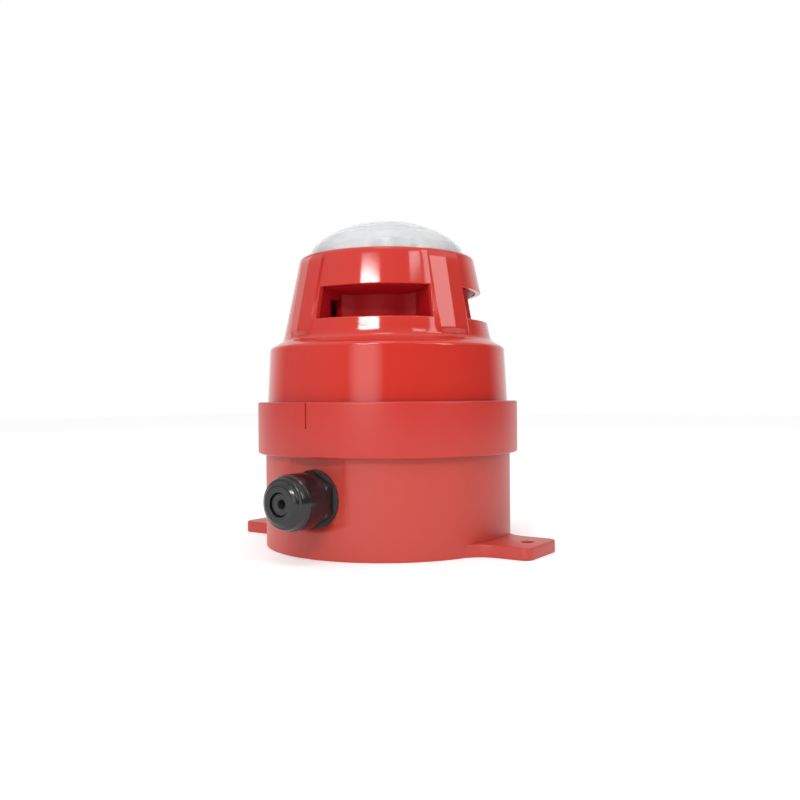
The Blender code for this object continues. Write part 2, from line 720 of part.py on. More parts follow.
def horn_driver():
    """The compression driver under the throat, from its yoke up to its diaphragm."""
    yoke = [(0.0, 80.6), (8.4, 80.6), (8.4, 66.0), (27.0, 66.0), (27.0, 62.5), (0.0, 62.5)]
    turned("driver_yoke", yoke, MEDIUM_ROUND, STEEL)
    magnet = [(13.0, 76.0), (26.0, 76.0), (26.0, 66.3), (13.0, 66.3)]
    turned("driver_magnet", magnet, MEDIUM_ROUND, FERRITE)
    top_plate = [(10.3, 80.3), (26.0, 80.3), (26.0, 76.3), (10.3, 76.3)]
    turned("driver_top_plate", top_plate, MEDIUM_ROUND, STEEL)
    frame_profile = [
        (27.4, 87.0),
        (32.0, 87.0),
        (32.0, 80.6),
        (20.0, 80.6),
        (20.0, 82.6),
        (27.4, 82.6),
    ]
    frame = turned("driver_frame", frame_profile, MEDIUM_ROUND, BLACK)
    for i, azimuth in enumerate(HORN_SCREW_AZIMUTHS):
        place = at(DRIVER_SCREW_RADIUS, azimuth).xy
        cut(frame, prism(f"driver_screw_hole_{i + 1}", 1.5, 79.0, 88.0, 10, place=place))
        fixing_screw(f"driver_screw_{i + 1}", place, 80.3, 2.2, -1.8, 1.1, 13.0, 12)
    coil = [(8.9, 83.6), (9.7, 83.6), (9.7, 74.0), (8.9, 74.0)]
    turned("voice_coil", coil, MEDIUM_ROUND, COPPER)
    diaphragm = [
        (0.0, 86.4),
        (5.0, 86.0),
        (9.6, 84.9),
        (14.0, 85.3),
        (26.6, 84.8),
        (26.6, 84.1),
        (14.0, 84.5),
        (9.6, 83.9),
        (5.0, 85.0),
        (0.0, 85.4),
    ]
    turned("diaphragm", diaphragm, MEDIUM_ROUND, FILM)


def head_board():
    """The head's circuit board with its parts, hung from three spacers."""
    top = HEAD_BOARD_Z + BOARD_THICKNESS
    half_flat = math.degrees(math.acos(-HEAD_BOARD_FLAT_Y / HEAD_BOARD_RADIUS))
    outline = arc((0.0, 0.0), HEAD_BOARD_RADIUS, -90.0 + half_flat, 270.0 - half_flat, 36)
    board = plate("head_board", outline, HEAD_BOARD_Z, top, BOARD)
    for i, azimuth in enumerate(SPACER_AZIMUTHS):
        place = at(SPACER_RADIUS, azimuth).xy
        cut(board, prism(f"head_board_hole_{i + 1}", 1.7, 30.0, 40.0, 10, place=place))
        spacer = prism(f"board_spacer_{i + 1}", 3.2, top + GAP, SPACER_TOP_Z, 6, STEEL, place)
        cut(spacer, prism(f"spacer_bore_{i + 1}", 1.5, 30.0, 70.0, 10, place=place))
        fixing_screw(f"board_screw_{i + 1}", place, HEAD_BOARD_Z - GAP, 2.8, -2.0, 1.1, 30.5, 10)
    turned(
        "flash_capacitor",
        [(0.0, 14.0), (8.0, 14.0), (9.0, 13.0), (9.0, -14.0), (0.0, -14.0)],
        20,
        BLACK,
        location=(-16.0, 14.0, top + GAP + 9.2),
        rotation=(0.0, math.radians(90), 0.0),
    )
    core_place = (16.0, -10.0)
    core = box("driver_transformer", (20.0, 17.0, 5.0), (*core_place, top + GAP + 2.5), BLUE)
    bobbin = box("transformer_bobbin", (20.0, 9.0, 14.0), (*core_place, top + GAP + 7.0))
    join(core, bobbin)


def beacon():
    """The beacon: a tray with the strobe board, reflector and flash tube, under the clear lens."""
    tray_profile = [
        (0.0, 121.0),
        (36.6, 121.0),
        (36.6, TRAY_TOP_Z),
        (TRAY_RADIUS, TRAY_TOP_Z),
        (TRAY_RADIUS, TRAY_LOW_Z),
        (0.0, TRAY_LOW_Z),
    ]
    tray = turned("beacon_tray", tray_profile, SEAL_ROUND, WHITE)
    cut(tray, prism("tray_lead_hole", 1.6, 110.0, 125.0, 12, place=at(LEAD_RADIUS, CLOSED_AZIMUTH).xy))
    prism("strobe_board", 32.5, STROBE_BOARD_Z, STROBE_BOARD_Z + BOARD_THICKNESS, 40, BOARD)
    reflector = [(30.6, 131.0), (31.4, 131.0), (13.9, 123.2), (12.6, 123.2)]
    turned("reflector", reflector, MEDIUM_ROUND, MIRROR)
    tube_foot_z = STROBE_BOARD_Z + BOARD_THICKNESS + 0.4
    bend = [(x, 0.0, z) for x, z in arc((0.0, TUBE_BEND_Z), TUBE_BEND, 0.0, 180.0, 9)]
    tube_route = [(TUBE_BEND, 0.0, tube_foot_z)] + bend + [(-TUBE_BEND, 0.0, tube_foot_z)]
    wire("flash_tube", TUBE_RADIUS, tube_route, GLASS)
    prism("trigger_coil", 3.2, 123.2, 130.0, 16, COPPER, (0.0, -7.6))
    lens_profile = [
        (0.0, LENS_TOP_Z),
        (9.0, 150.3),
        (17.0, 148.8),
        (25.0, 145.6),
        (31.3, 141.9),
        (35.0, 138.4),
        (36.9, 133.7),
        (LENS_SKIRT, 129.0),
        (LENS_FLANGE, 129.0),
        (LENS_FLANGE, TRAY_TOP_Z + GAP),
        (35.0, TRAY_TOP_Z + GAP),
        (34.8, 133.0),
        (33.0, 137.0),
        (29.6, 140.0),
        (24.0, 143.5),
        (16.2, 146.7),
        (8.4, 148.1),
        (0.0, 148.7),
    ]
    turned("lens", lens_profile, SEAL_ROUND, CLEAR)
    gasket = [
        (LENS_SKIRT + GAP, 130.0),
        (LENS_FLANGE, 130.0),
        (LENS_FLANGE, 129.3),
        (LENS_SKIRT + GAP, 129.3),
    ]
    turned("lens_gasket", gasket, SEAL_ROUND, RUBBER)
    lead_low = HEAD_BOARD_Z + BOARD_THICKNESS + GAP
    route = [at(LEAD_RADIUS, CLOSED_AZIMUTH, z) for z in (lead_low, 118.0, 122.6)]
    route += [at(LEAD_RADIUS - 0.9, CLOSED_AZIMUTH, 124.0), at(LEAD_RADIUS - 3.4, CLOSED_AZIMUTH, 124.6)]
    wire("beacon_lead", 0.9, route, WHITE)
    driver_route = [
        at(24.0, 30.0, lead_low),
        at(24.6, 30.0, 45.0),
        at(28.8, 52.0, 58.0),
        at(29.2, 55.0, 80.0),
    ]
    wire("driver_lead", 0.7, driver_route, BLACK)


def build():
    base_housing()
    base_gasket()
    terminal_board()
    for i, (name, place) in enumerate(BLOCK_PLACES.items()):
        terminal_block(name, place, 1 + BLOCK_WAYS * i)
    dip_switch()
    volume_trimmer()
    interconnect()
    gland()
    locking_ring()
    head_housing()
    horn_insert()
    horn_driver()
    head_board()
    beacon()


build()
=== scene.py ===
"""The finished look of the horn strobe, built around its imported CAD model.

Shapes are written in millimetres, in the CAD model's own frame, and turned into metres by MM. An azimuth
is an angle in degrees about +Z, with 0 at -Y and 90 at +X.
"""

import json
import math

import bmesh
import bpy
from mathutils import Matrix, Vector


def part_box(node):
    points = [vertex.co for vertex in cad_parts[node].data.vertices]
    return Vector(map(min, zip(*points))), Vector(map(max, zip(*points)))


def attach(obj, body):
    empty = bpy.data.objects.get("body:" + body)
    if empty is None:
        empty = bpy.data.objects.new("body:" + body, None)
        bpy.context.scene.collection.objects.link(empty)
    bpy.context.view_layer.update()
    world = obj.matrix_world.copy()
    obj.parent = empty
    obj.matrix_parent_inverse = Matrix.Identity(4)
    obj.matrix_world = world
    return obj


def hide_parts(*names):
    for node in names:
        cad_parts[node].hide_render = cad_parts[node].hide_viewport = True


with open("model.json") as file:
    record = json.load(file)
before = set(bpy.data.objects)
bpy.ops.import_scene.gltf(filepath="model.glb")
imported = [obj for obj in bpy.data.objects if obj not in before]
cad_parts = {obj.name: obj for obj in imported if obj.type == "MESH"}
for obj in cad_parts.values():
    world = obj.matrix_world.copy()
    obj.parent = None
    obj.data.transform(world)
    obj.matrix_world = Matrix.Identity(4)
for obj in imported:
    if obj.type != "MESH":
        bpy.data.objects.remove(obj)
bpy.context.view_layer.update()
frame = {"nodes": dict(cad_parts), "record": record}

MM = 0.001
SHARP_ANGLE = 35.0

# Base and lugs
BASE_RADIUS = 57.5
BASE_INNER = 54.5
BASE_FLOOR_Z = 4.0
LUG_REACH = 80.0
LUG_HALF_WIDTH = 14.5
LUG_THICKNESS = 5.5
LUG_CORNER = 4.0
LUG_FILLET = 13.0
LUG_HOLE_X = 72.0
GLAND_Z = 25.3
GLAND_FACE_Y = -55.0
GLAND_FLAT_LOW_Z = 11.0
GLAND_FLAT_HIGH_Z = 43.6
GLAND_FLAT_FADE = 5.0
GLAND_ENTRY_RADIUS = 10.2
BOARD_POSTS = ((-30.0, 26.0), (30.0, 26.0), (0.0, -18.0))
THREAD_RADIUS = 58.6
THREAD_FOOT_Z = 44.8
BASE_RIM_Z = 58.0
MARK_SIZE = (0.9, 1.6, 12.0)

# Head and horn. The tower is measured on its panels; its pillars stand a little proud of them
TOWER_FOOT = (48.5, 97.5)
TOWER_RIM = (41.6, 130.3)
TOWER_WALL = 2.6
TOWER_TOP_Z = 133.3
LENS_OPENING = 37.4
QUARTER_AZIMUTHS = (26.0, 116.0, 206.0, 296.0)
MOUTH_COUNT = 3
MOUTH_HALF_ANGLE = 33.0
PILLAR_MIDDLE_ANGLE = 45.0
PILLAR_EDGE_AT_FOOT = 36.0
PILLAR_EDGE_AT_RIM = 33.8
PILLAR_EDGE_RISE = 0.9
PILLAR_EDGE_STEP = 0.10
PILLAR_RIDGE_RISE = 1.5
MOUTH_LOW_Z = 102.7
MOUTH_HIGH_Z = 116.8
HORN_BACK_RADIUS = 28.0
HORN_TOP_Z = 119.0
HORN_SCREW_AZIMUTHS = (30.0, 150.0, 270.0)

# Lens: the inside of its dome, which carries the rings of prisms
LENS_INNER_RADIUS = 34.6
LENS_INNER_TOP_Z = 148.7
PRISM_RINGS = 17

# Softboxes stand at one distance from a point on the axis, in metres, and are aimed at it
SOFTBOX_DISTANCE = 1.1
SOFTBOX_TARGET_Z = 112.0
FLOOR_HALF_WIDTH = 3.0

# Camera: level with the upper edge of the locking ring
CAMERA_AZIMUTH = 33.5
CAMERA_DISTANCE = 409.0
CAMERA_HEIGHT = 67.0
CAMERA_SIDESTEP = 5.8
CAMERA_LENS = 38.6
CAMERA_SENSOR = 36.0
CAMERA_ROLL = 0.43


# ---------------------------------------------------------------- geometry


def polar(radius, azimuth, z):
    """The point at this radius and azimuth, in metres."""
    turn = math.radians(azimuth)
    return Vector((radius * math.sin(turn), -radius * math.cos(turn), z)) * MM


def turned(x, y, azimuth):
    """A point on the plane, turned about the origin."""
    turn = math.radians(azimuth)
    return x * math.cos(turn) - y * math.sin(turn), x * math.sin(turn) + y * math.cos(turn)


def shade(mesh):
    """Smooth shading that stops at the sharp edges."""
    mesh.shade_smooth()
    mesh.set_sharp_from_angle(angle=math.radians(SHARP_ANGLE))


def smoothstep(low, high, value):
    share = min(max((value - low) / (high - low), 0.0), 1.0)
    return share * share * (3 - 2 * share)


def fillets(corners, closed=False, steps=4):
    """An outline whose corners, given as (x, y, radius), are rounded off."""
    points = []
    last = len(corners) - 1
    for i, (x, y, radius) in enumerate(corners):
        here = Vector((x, y))
        if radius == 0 or (not closed and i in (0, last)):
            points.append(here)
            continue
        before = Vector(corners[i - 1][:2]) - here
        after = Vector(corners[(i + 1) % len(corners)][:2]) - here
        reach = radius / math.tan(before.angle(after) / 2)
        reach = min(reach, 0.48 * before.length, 0.48 * after.length)
        start = here + before.normalized() * reach
        end = here + after.normalized() * reach
        for step in range(steps + 1):
            t = step / steps
            points.append((1 - t) ** 2 * start + 2 * t * (1 - t) * here + t * t * end)
    return points


def mesh_piece(name, vertices, faces):
    mesh = bpy.data.meshes.new(name)
    mesh.from_pydata([tuple(v) for v in vertices], [], faces)
    bm = bmesh.new()
    bm.from_mesh(mesh)
    bmesh.ops.remove_doubles(bm, verts=bm.verts, dist=0.000002)
    bmesh.ops.recalc_face_normals(bm, faces=bm.faces)
    bm.to_mesh(mesh)
    bm.free()
    shade(mesh)
    piece = bpy.data.objects.new(name, mesh)
    bpy.context.scene.collection.objects.link(piece)
    return piece


def lathe(name, profile, columns=128, place=polar):
    """A closed outline of (radius, height) points turned about Z, then moved by a placing function."""
    azimuths = [360.0 * i / columns for i in range(columns)]
    rows = len(profile)
    vertices = [place(point[0], azimuth, point[1]) for azimuth in azimuths for point in profile]
    faces = []
    for column in range(columns):
        here = column * rows
        there = (column + 1) % columns * rows
        for row in range(rows):
            after = (row + 1) % rows
            if profile[row][0] < 1e-6 and profile[after][0] < 1e-6:
                continue
            faces.append((here + row, there + row, there + after, here + after))
    return mesh_piece(name, vertices, faces)


def outward(seat):
    """A placing function for a turned piece whose axis runs outward along -Y from a seat on the base."""

    def place(radius, azimuth, z):
        point = polar(radius, azimuth, z)
        return Vector((point.x, seat.y - point.z, seat.z + point.y))

    return place


def extruded(name, outline, low, high, bevel=0.0):
    """A flat outline between two heights, with its edges bevelled."""
    bm = bmesh.new()
    ring = [bm.verts.new((x * MM, y * MM, low * MM)) for x, y in outline]
    bottom = bm.faces.new(ring)
    grown = bmesh.ops.extrude_face_region(bm, geom=[bottom])
    moved = [item for item in grown["geom"] if isinstance(item, bmesh.types.BMVert)]
    bmesh.ops.translate(bm, verts=moved, vec=(0.0, 0.0, (high - low) * MM))
    bmesh.ops.recalc_face_normals(bm, faces=bm.faces)
    if bevel:
        rims = [edge for edge in bm.edges if abs(edge.verts[0].co.z - edge.verts[1].co.z) < 1e-7]
        bmesh.ops.bevel(bm, geom=rims, offset=bevel * MM, segments=3, profile=0.5, affect="EDGES")
    mesh = bpy.data.meshes.new(name)
    bm.to_mesh(mesh)
    bm.free()
    piece = bpy.data.objects.new(name, mesh)
    bpy.context.scene.collection.objects.link(piece)
    return piece


def block(name, size, centre, azimuth=0.0, bevel=0.0):
    """A bevelled block, turned about Z so that its Y axis is radial."""
    half_x, half_y = size[0] / 2, size[1] / 2
    outline = [(-half_x, -half_y), (half_x, -half_y), (half_x, half_y), (-half_x, half_y)]
    piece = extruded(name, outline, -size[2] / 2, size[2] / 2, bevel)
    for vertex in piece.data.vertices:
        x, y = turned(vertex.co.x, vertex.co.y, azimuth)
        vertex.co = (x + centre[0] * MM, y + centre[1] * MM, vertex.co.z + centre[2] * MM)
    return piece


def boolean(target, operation, *tools):
    """Combines the tools with the target for good, and removes them."""
    for tool in tools:
        step = target.modifiers.new("combine", "BOOLEAN")
        step.operation = operation
        step.solver = "EXACT"
        step.object = tool
    bpy.context.view_layer.update()
    graph = bpy.context.evaluated_depsgraph_get()
    mesh = bpy.data.meshes.new_from_object(target.evaluated_get(graph))
    target.modifiers.clear()
    target.data = mesh
    for tool in tools:
        bpy.data.objects.remove(tool, do_unlink=True)
    shade(mesh)
    return target


# ---------------------------------------------------------------- materials


class Nodes:
    """A short way to write a material's node tree around one Principled BSDF."""

    def __init__(self, name, roughness, metallic=0.0):
        self.material = bpy.data.materials.new(name)
        self.material.use_nodes = True
        self.tree = self.material.node_tree
        self.shader = self.tree.nodes["Principled BSDF"]
        self.shader.inputs["Roughness"].default_value = roughness
        self.shader.inputs["Metallic"].default_value = metallic
        self.place = self.tree.nodes.new("ShaderNodeTexCoord").outputs["Object"]

    def link(self, output, socket):
        self.tree.links.new(output, socket)

    def noise(self, scale, detail=3.0, stretch=(1.0, 1.0, 1.0)):
        mapping = self.tree.nodes.new("ShaderNodeMapping")
        mapping.inputs["Scale"].default_value = stretch
        self.link(self.place, mapping.inputs["Vector"])
        node = self.tree.nodes.new("ShaderNodeTexNoise")
        node.inputs["Scale"].default_value = scale
        node.inputs["Detail"].default_value = detail
        self.link(mapping.outputs["Vector"], node.inputs["Vector"])
        return node.outputs["Fac"]

    def cells(self, scale):
        node = self.tree.nodes.new("ShaderNodeTexVoronoi")
        node.inputs["Scale"].default_value = scale
        self.link(self.place, node.inputs["Vector"])
        return node.outputs["Distance"]

    def blend(self, factor, low, high, start=0.35, end=0.65):
        """A colour ramp between two colours, driven by a factor."""
        node = self.tree.nodes.new("ShaderNodeValToRGB")
        node.color_ramp.elements[0].position = start
        node.color_ramp.elements[0].color = (*low, 1.0)
        node.color_ramp.elements[1].position = end
        node.color_ramp.elements[1].color = (*high, 1.0)
        self.link(factor, node.inputs["Fac"])
        return node.outputs["Color"]

    def range(self, factor, low, high):
        node = self.tree.nodes.new("ShaderNodeMapRange")
        node.inputs["To Min"].default_value = low
        node.inputs["To Max"].default_value = high
        self.link(factor, node.inputs["Value"])
        return node.outputs["Result"]

    def bump(self, *layers):
        """Stacks (height, strength, distance in mm) layers of bump."""
        normal = None
        for height, strength, distance in layers:
            node = self.tree.nodes.new("ShaderNodeBump")
            node.inputs["Strength"].default_value = strength
            node.inputs["Distance"].default_value = distance * MM
            self.link(height, node.inputs["Height"])
            if normal is not None:
                self.link(normal, node.inputs["Normal"])
            normal = node.outputs["Normal"]
        self.link(normal, self.shader.inputs["Normal"])


def plastic(name, low, high, roughness, grain, grain_strength=0.15, specular=0.5):
    """Moulded plastic: faint flow marks in its colour, uneven gloss, and a fine grain from the mould."""
    nodes = Nodes(name, roughness[0])
    flow = nodes.noise(14.0, 2.0, (1.0, 1.0, 0.35))
    nodes.link(nodes.blend(flow, low, high), nodes.shader.inputs["Base Color"])
    nodes.link(nodes.range(nodes.noise(45.0, 4.0), *roughness), nodes.shader.inputs["Roughness"])
    nodes.shader.inputs["Specular IOR Level"].default_value = specular
    nodes.bump((nodes.noise(grain, 2.0), grain_strength, 0.04), (nodes.noise(60.0, 2.0), 0.12, 0.12))
    return nodes.material


def metal(name, low, high, roughness, brushed=(1.0, 1.0, 1.0)):
    nodes = Nodes(name, roughness[0], metallic=1.0)
    marks = nodes.noise(300.0, 3.0, brushed)
    nodes.link(nodes.blend(marks, low, high), nodes.shader.inputs["Base Color"])
    nodes.link(nodes.range(nodes.noise(120.0), *roughness), nodes.shader.inputs["Roughness"])
    nodes.bump((marks, 0.1, 0.02))
    return nodes.material


def clear(name, tint, roughness, cells):
    """Clear plastic or glass with a fine pattern of cells in its surface."""
    nodes = Nodes(name, roughness[0])
    nodes.shader.inputs["Transmission Weight"].default_value = 0.66
    nodes.shader.inputs["IOR"].default_value = 1.5
    haze = nodes.noise(35.0, 3.0)
    brighter = tuple(min(1.0, channel * 1.06) for channel in tint)
    nodes.link(nodes.blend(haze, tint, brighter), nodes.shader.inputs["Base Color"])
    nodes.link(nodes.range(haze, *roughness), nodes.shader.inputs["Roughness"])
    nodes.bump((nodes.cells(cells), 0.5, 0.4))
    return nodes.material


def board_finish(name):
    """A circuit board: green resist over a faint pattern of copper tracks."""
    nodes = Nodes(name, 0.4)
    tracks = nodes.tree.nodes.new("ShaderNodeTexBrick")
    tracks.inputs["Scale"].default_value = 160.0
    tracks.inputs["Color1"].default_value = (0.010, 0.085, 0.035, 1.0)
    tracks.inputs["Color2"].default_value = (0.016, 0.120, 0.050, 1.0)
    tracks.inputs["Mortar"].default_value = (0.030, 0.170, 0.075, 1.0)
    tracks.inputs["Mortar Size"].default_value = 0.06
    nodes.link(nodes.place, tracks.inputs["Vector"])
    nodes.link(tracks.outputs["Color"], nodes.shader.inputs["Base Color"])
    nodes.bump((tracks.outputs["Fac"], 0.2, 0.05))
    return nodes.material


GLOSS_RED = plastic(
    "gloss_red_plastic", (0.45, 0.022, 0.014), (0.51, 0.028, 0.018), (0.07, 0.12), 900.0, 0.02
)
RING_RED = plastic("ring_red_plastic", (0.43, 0.022, 0.014), (0.48, 0.027, 0.018), (0.30, 0.42), 1300.0, 0.20)
BASE_RED = plastic("base_red_plastic", (0.43, 0.040, 0.028), (0.48, 0.047, 0.033), (0.34, 0.48), 1300.0, 0.25)
# Painted shade: the horn's inside is the head's red plastic, coloured darker and duller to stand for the
# shade deep in the mouths
HORN_SHADED_RED = plastic(
    "horn_red_painted_shade", (0.36, 0.005, 0.010), (0.42, 0.009, 0.014), (0.30, 0.42), 900.0, 0.05, specular=0.1
)
BLACK_NYLON = plastic("black_nylon", (0.006, 0.006, 0.007), (0.012, 0.012, 0.013), (0.12, 0.22), 1100.0, 0.06)
RUBBER = plastic("black_rubber", (0.020, 0.021, 0.022), (0.032, 0.033, 0.034), (0.50, 0.68), 1500.0, 0.30)
WHITE = plastic("white_plastic", (0.72, 0.72, 0.70), (0.80, 0.80, 0.78), (0.35, 0.45), 1200.0)
GREEN = plastic("green_terminal_plastic", (0.03, 0.22, 0.07), (0.05, 0.28, 0.10), (0.35, 0.45), 1200.0)
BLUE = plastic("blue_component_plastic", (0.02, 0.07, 0.28), (0.03, 0.10, 0.34), (0.32, 0.42), 1200.0)
FILM = plastic("phenolic_film", (0.36, 0.18, 0.06), (0.48, 0.27, 0.11), (0.35, 0.55), 600.0, 0.3)
FERRITE = plastic("ferrite", (0.035, 0.035, 0.040), (0.070, 0.070, 0.075), (0.50, 0.70), 900.0, 0.4)
STEEL = metal("zinc_plated_steel", (0.50, 0.50, 0.48), (0.66, 0.66, 0.64), (0.22, 0.38))
COPPER = metal("copper_winding", (0.50, 0.20, 0.08), (0.68, 0.32, 0.16), (0.25, 0.40), (0.02, 0.02, 3.0))
MIRROR = metal("metallised_reflector", (0.82, 0.83, 0.85), (0.90, 0.91, 0.92), (0.06, 0.14))
LENS_CLEAR = clear("clear_polycarbonate", (0.93, 0.95, 0.96), (0.04, 0.12), 260.0)
TUBE_GLASS = clear("flash_tube_glass", (0.92, 0.94, 0.96), (0.02, 0.06), 40.0)
BOARD = board_finish("circuit_board")


# ---------------------------------------------------------------- red shells


def lug_outline():
    """The right lug, with fillets where it leaves the base. Its root lies inside the base's wall."""
    inside = BASE_RADIUS - 1.5
    reach = BASE_RADIUS + LUG_FILLET
    fillet_y = LUG_HALF_WIDTH + LUG_FILLET
    fillet_x = math.sqrt(reach**2 - fillet_y**2)
    leave = math.atan2(fillet_y, fillet_x)

    def arc(centre, radius, start, end, steps):
        angles = [start + (end - start) * i / steps for i in range(steps + 1)]
        return [(centre[0] + radius * math.cos(a), centre[1] + radius * math.sin(a)) for a in angles]

    quarter = math.pi / 2
    corner = (LUG_REACH - LUG_CORNER, LUG_HALF_WIDTH - LUG_CORNER)
    upper = arc((fillet_x, fillet_y), LUG_FILLET, math.pi + leave, 3 * quarter, 14)[::-1]
    right = arc((corner[0], -corner[1]), LUG_CORNER, -quarter, 0.0, 8)
    right += arc(corner, LUG_CORNER, 0.0, quarter, 8)
    lower = [(x, -y) for x, y in upper[::-1]]
    return lower + right + upper + arc((0.0, 0.0), inside, leave, -leave, 16)


def base_shell():
    """The base: a cup with a flat for the cable gland, two lugs, and posts for the terminal board."""
    corners = [
        (0.0, BASE_FLOOR_Z, 0.0),
        (BASE_INNER, BASE_FLOOR_Z, 1.5),
        (BASE_INNER, 56.0, 0.2),
        (56.5, 56.0, 0.2),
        (56.5, BASE_RIM_Z, 0.3),
        (THREAD_RADIUS, BASE_RIM_Z, 0.4),
        (THREAD_RADIUS, THREAD_FOOT_Z, 0.3),
        (BASE_RADIUS, THREAD_FOOT_Z - 1.0, 0.5),
        (BASE_RADIUS, GLAND_FLAT_HIGH_Z, 0.0),
        (BASE_RADIUS, GLAND_FLAT_HIGH_Z - 0.5, 0.0),
        *((BASE_RADIUS, GLAND_FLAT_LOW_Z + GLAND_FLAT_FADE * (1 - i / 10), 0.0) for i in range(11)),
        (BASE_RADIUS, 0.0, 0.7),
        (0.0, 0.0, 0.0),
    ]

    def place(radius, azimuth, z):
        """Presses the flat for the gland into the outside wall, fading out towards the foot."""
        point = polar(radius, azimuth, z)
        if z < GLAND_FLAT_HIGH_Z - 0.1 and abs(radius - BASE_RADIUS) < 0.01:
            fade = smoothstep(GLAND_FLAT_LOW_Z, GLAND_FLAT_LOW_Z + GLAND_FLAT_FADE, z)
            depth = (BASE_RADIUS + GLAND_FACE_Y) * fade
            point.y = max(point.y, (depth - BASE_RADIUS) * MM)
        return point

    shell = lathe("base_shell", fillets(corners), 192, place)
    right = extruded("lug_right", lug_outline(), 0.0, LUG_THICKNESS, 0.7)
    left = extruded("lug_left", [(-x, -y) for x, y in lug_outline()], 0.0, LUG_THICKNESS, 0.7)
    additions = [right, left]
    for i, spot in enumerate(BOARD_POSTS):
        additions.append(upright(f"post_{i}", 4.0, 3.0, 12.0, spot))
    boolean(shell, "UNION", *additions)
    entry = round_bar(GLAND_ENTRY_RADIUS, -12.0, 12.0)
    cutters = [lathe("entry", entry, 48, outward(gland_seat()))]
    for side in (-1, 1):
        cutters.append(upright(f"lug_hole_{side}", 2.75, -2.0, 8.0, (side * LUG_HOLE_X, 0.0)))
        cutters.append(countersink(f"lug_rim_{side}", 2.75, LUG_THICKNESS, (side * LUG_HOLE_X, 0.0)))
    for i, spot in enumerate(BOARD_POSTS):
        cutters.append(upright(f"pilot_{i}", 1.5, 4.6, 14.0, spot))
    boolean(shell, "DIFFERENCE", *cutters)
    return shell


def round_bar(radius, low, high):
    return [(0.0, low), (radius, low), (radius, high), (0.0, high)]


def shifted(centre):
    """A placing function for a turned piece whose upright axis is at this (x, y)."""
    shift = Vector((*centre, 0.0)) * MM
    return lambda radius, azimuth, z: polar(radius, azimuth, z) + shift


def upright(name, radius, low, high, centre, sides=32):
    return lathe(name, round_bar(radius, low, high), sides, shifted(centre))


def countersink(name, radius, z, centre):
    profile = [(0.0, z - 0.4), (radius - 0.1, z - 0.4), (radius + 0.7, z + 0.4), (0.0, z + 0.4)]
    return lathe(name, profile, 32, shifted(centre))


def ring_shell():
    """The locking ring, with its alignment mark cut in the upper edge above the cable gland."""
    low, high = (corner[2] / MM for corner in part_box("locking_ring"))
    corners = [
        (57.0, high, 0.3),
        (61.0, high, 0.9),
        (61.0, low, 0.9),
        (59.0, low, 0.3),
        (59.0, high - 4.4, 0.2),
        (57.0, high - 4.4, 0.2),
    ]
    ring = lathe("ring_shell", fillets(corners, closed=True), 192)
    mark = block("mark", MARK_SIZE, (0.0, -61.3, high - 5.2))
    return boolean(ring, "DIFFERENCE", mark)


def tower_share(z):
    """How far up the tower this height is, from 0 at its foot to 1 at its rim."""
    return (z - TOWER_FOOT[1]) / (TOWER_RIM[1] - TOWER_FOOT[1])


def tower_radius(z):
    return TOWER_FOOT[0] + tower_share(z) * (TOWER_RIM[0] - TOWER_FOOT[0])


def quarter_offset(azimuth):
    """The angle from the nearest quarter's middle, and that quarter's number."""
    offsets = [(azimuth - middle + 180.0) % 360.0 - 180.0 for middle in QUARTER_AZIMUTHS]
    nearest = min(range(4), key=lambda i: abs(offsets[i]))
    return offsets[nearest], nearest


def tower_point(azimuth, z, radius):
    """A point on the tower's outside: a plain panel in each quarter, and a ridged pillar between two.

    A pillar is narrower at its foot, so the columns beside a panel slant.
    """
    offset, _ = quarter_offset(azimuth)
    away = abs(offset)
    fade = smoothstep(95.2, 98.2, z) * smoothstep(132.2, 129.4, z)
    if away <= MOUTH_HALF_ANGLE or fade == 0.0:
        return polar(radius, azimuth, z)
    side = 1.0 if offset > 0 else -1.0
    middle = azimuth - offset
    high = min(max(tower_share(z), 0.0), 1.0)
    edge_angle = PILLAR_EDGE_AT_FOOT + high * (PILLAR_EDGE_AT_RIM - PILLAR_EDGE_AT_FOOT)
    step = (away - MOUTH_HALF_ANGLE) / (PILLAR_MIDDLE_ANGLE - MOUTH_HALF_ANGLE)
    if step < PILLAR_EDGE_STEP:
        rise = smoothstep(0.4, 1.0, step / PILLAR_EDGE_STEP)
        angle = MOUTH_HALF_ANGLE + (edge_angle - MOUTH_HALF_ANGLE) * step / PILLAR_EDGE_STEP
        return polar(radius + PILLAR_EDGE_RISE * fade * rise, middle + side * angle, z)
    edge = polar(radius + PILLAR_EDGE_RISE * fade, middle + side * edge_angle, z)
    ridge = polar(radius + PILLAR_RIDGE_RISE * fade, middle + side * PILLAR_MIDDLE_ANGLE, z)
    return edge.lerp(ridge, (step - PILLAR_EDGE_STEP) / (1.0 - PILLAR_EDGE_STEP))


def head_columns():
    """The azimuths of the head's columns, closer together where the panels and mouths end."""
    span = PILLAR_MIDDLE_ANGLE - MOUTH_HALF_ANGLE
    steps = [0.0, 0.4, 0.7, 1.0]
    half = [MOUTH_HALF_ANGLE + span * PILLAR_EDGE_STEP * step for step in steps]
    half += [MOUTH_HALF_ANGLE + span * step for step in (0.14, 0.3, 0.5, 0.7, 0.9, 0.96)]
    inner = [MOUTH_HALF_ANGLE * i / 15 for i in range(-14, 15)]
    offsets = [-value for value in half[::-1]] + inner + half + [PILLAR_MIDDLE_ANGLE]
    return [(middle + offset) % 360.0 for middle in QUARTER_AZIMUTHS for offset in offsets]


